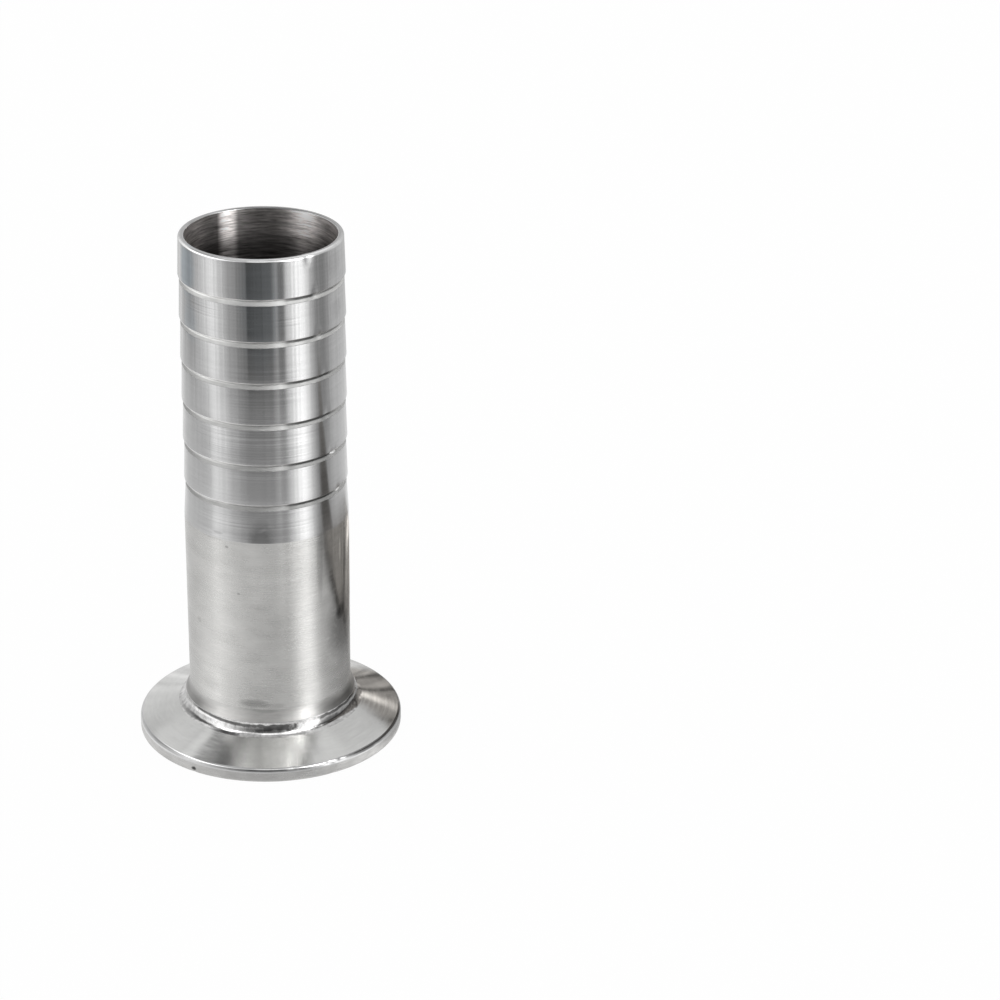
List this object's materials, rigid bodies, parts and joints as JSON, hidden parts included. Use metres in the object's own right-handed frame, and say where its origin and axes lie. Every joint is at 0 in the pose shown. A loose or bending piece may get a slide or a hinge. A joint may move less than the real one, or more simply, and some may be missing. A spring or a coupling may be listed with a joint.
{
  "type": "sanitary clamp hose barb",
  "caption": "Stainless sanitary fitting: a sloped clamp flange with a gasket groove on one end, and a straight tube with shallow hose barbs and a through bore.",
  "frame": {"origin": "centre of the clamp face, where the fitting stands", "axes": "+Z along the bore from the clamp face to the hose end; X and Y are equal, because the part is round"},
  "size_m": [0.0505, 0.0504, 0.1001],
  "materials": {
    "steel": "satin tube with finely turned, brighter barbs and flange"
  },
  "bodies": {
    "root": {"hose_barb": "steel"}
  },
  "joints": []
}
